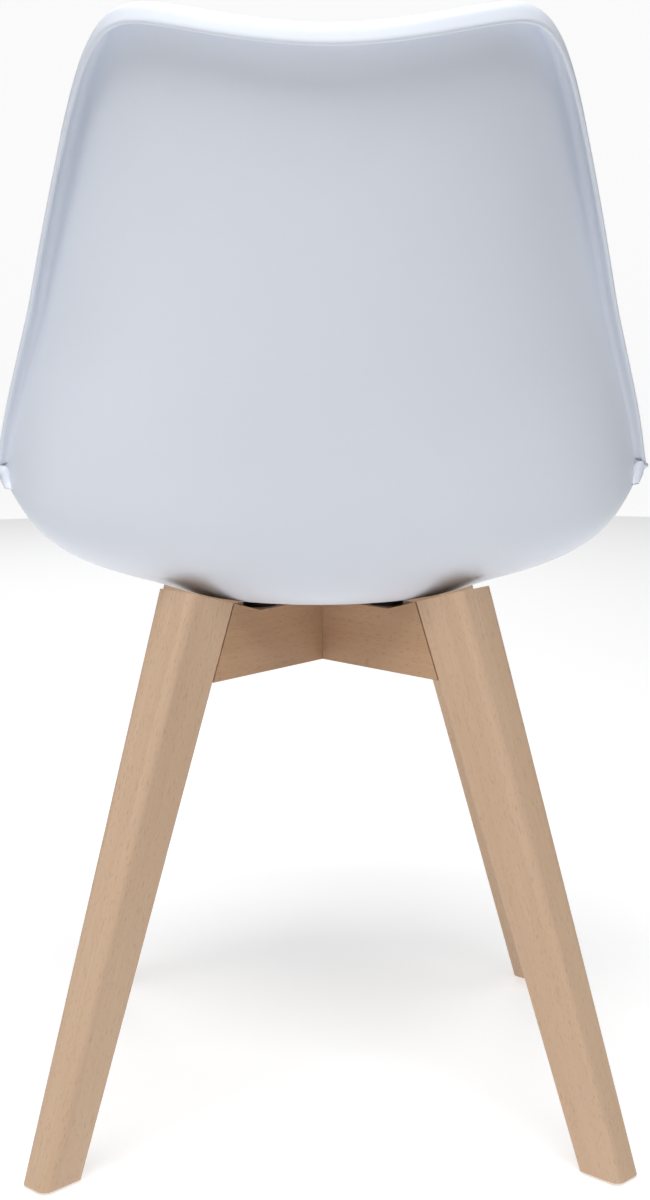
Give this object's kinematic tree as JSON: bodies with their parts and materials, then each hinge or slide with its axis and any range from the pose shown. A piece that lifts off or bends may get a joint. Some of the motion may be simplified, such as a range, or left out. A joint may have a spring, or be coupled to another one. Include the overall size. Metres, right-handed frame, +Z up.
{
  "type": "dining chair",
  "caption": "Dining chair with a moulded bucket shell, turned rim and padded seat, bolted to a crossed wooden frame with splayed tapered legs.",
  "frame": {"origin": "centre of the chair's footprint on the floor", "axes": "+Z up; the sitter faces -Y and the backrest is on the +Y side; +X is the sitter's left"},
  "size_m": [0.4958, 0.5431, 0.8307],
  "materials": {
    "shell_plastic": "satin",
    "board_plastic": "matte",
    "pad_foam": "matte",
    "pad_leather": "satin",
    "beech_leg": "satin lacquer",
    "beech_rail": "satin lacquer",
    "beech_dowel": "raw",
    "spacer_rubber": "matte",
    "steel": "zinc plated",
    "glide_plastic": "matte"
  },
  "bodies": {
    "root": {"seat_shell": "shell_plastic", "seat_pad_board": "board_plastic", "seat_pad_foam": "pad_foam", "seat_pad_cover": "pad_leather", "seat_pad_screws": "steel", "cross_rail_lower": "beech_rail", "cross_rail_upper": "beech_rail", "leg_dowels": "beech_dowel", "cross_bolt": "steel", "cross_washers": "steel", "cross_nut": "steel", "shell_inserts": "steel", "shell_bolts": "steel", "shell_washers": "steel", "glide_nails": "steel", "leg_rear_right": "beech_leg", "spacer_rear_right": "spacer_rubber", "foot_glide_rear_right": "glide_plastic", "leg_rear_left": "beech_leg", "spacer_rear_left": "spacer_rubber", "foot_glide_rear_left": "glide_plastic", "leg_front_left": "beech_leg", "spacer_front_left": "spacer_rubber", "foot_glide_front_left": "glide_plastic", "leg_front_right": "beech_leg", "spacer_front_right": "spacer_rubber", "foot_glide_front_right": "glide_plastic"}
  },
  "joints": []
}
